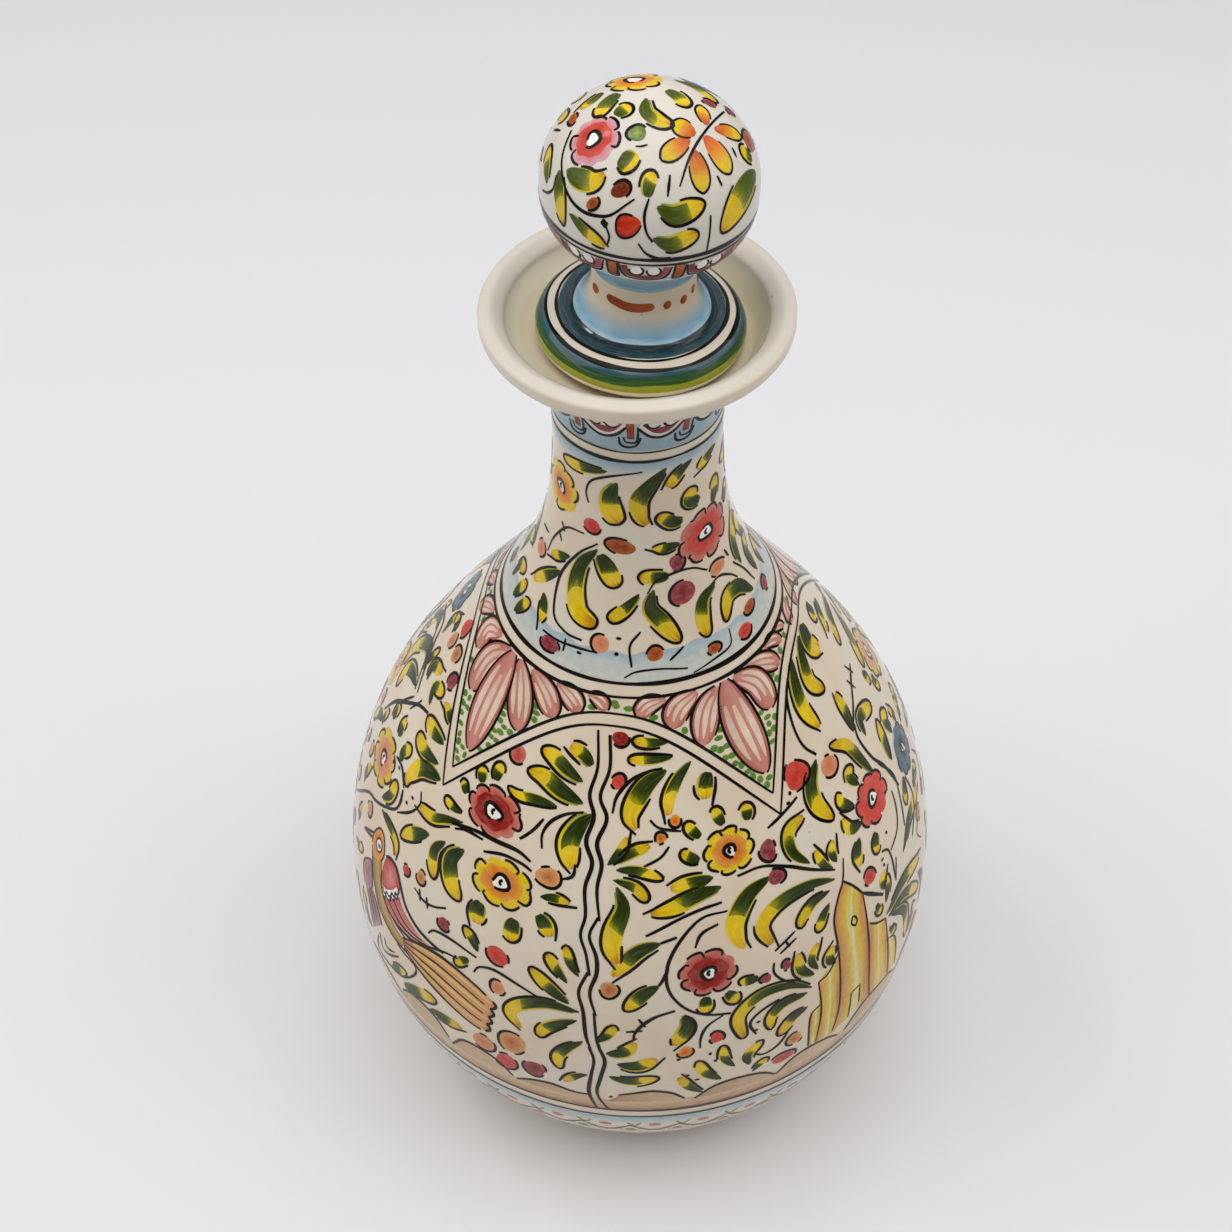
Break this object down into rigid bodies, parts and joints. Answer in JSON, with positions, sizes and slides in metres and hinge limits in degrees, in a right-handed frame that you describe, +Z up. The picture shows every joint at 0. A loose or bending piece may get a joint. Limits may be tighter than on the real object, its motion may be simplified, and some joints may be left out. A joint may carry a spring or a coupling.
{
  "type": "stoppered carafe",
  "caption": "Round-bellied glazed earthenware carafe with a slim neck, a flared saucer lip and a lift-out ball stopper with a domed collar.",
  "frame": {"origin": "middle of the foot ring's bottom face, on the surface that the carafe stands on", "axes": "+Z up along the carafe's own turning axis; -Y is the front that the picture shows, +X is to its right"},
  "size_m": [0.15, 0.15, 0.2901],
  "materials": {
    "body_glaze": "gloss",
    "stopper_glaze": "gloss"
  },
  "bodies": {
    "carafe": {"carafe_body": "body_glaze"},
    "stopper": {"stopper": "stopper_glaze"}
  },
  "joints": [
    {"name": "stopper_lift", "type": "slide", "parent": "carafe", "child": "stopper", "axis": [0, 0, 1], "range_m": [0, 0.05]}
  ]
}
